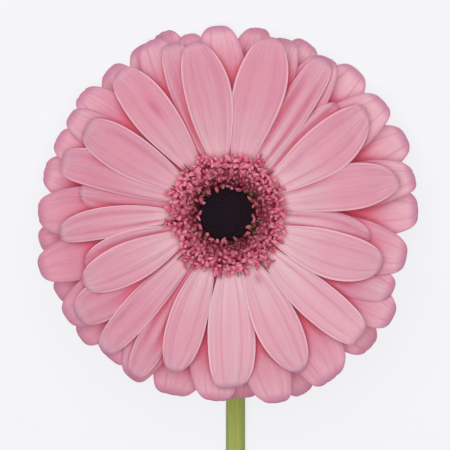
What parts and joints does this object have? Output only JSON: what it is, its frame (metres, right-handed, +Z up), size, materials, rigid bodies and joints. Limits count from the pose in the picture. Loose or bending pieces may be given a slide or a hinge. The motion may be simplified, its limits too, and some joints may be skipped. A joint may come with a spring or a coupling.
{
  "type": "cut gerbera",
  "caption": "Cut gerbera lying face up: layered pink ray petals round a ring of curled florets and a near-black eye, on a green cup and a long bare stem.",
  "frame": {"origin": "on the flat underside of the stem, just behind the bend, where the stem first lies on the surface", "axes": "+Z up from the surface, +Y along the lying stem towards the bloom, +X to the right of the stem when it is seen from above with the bloom at the far end"},
  "size_m": [0.1109, 0.4497, 0.0486],
  "materials": {
    "petal": "satin",
    "floret": "satin",
    "eye": "matte",
    "bract": "matte",
    "stem": "satin"
  },
  "bodies": {
    "root": {"ray_florets": "petal", "disc_florets": "floret", "disc_eye": "eye", "involucre": "bract", "stem": "stem"}
  },
  "joints": []
}
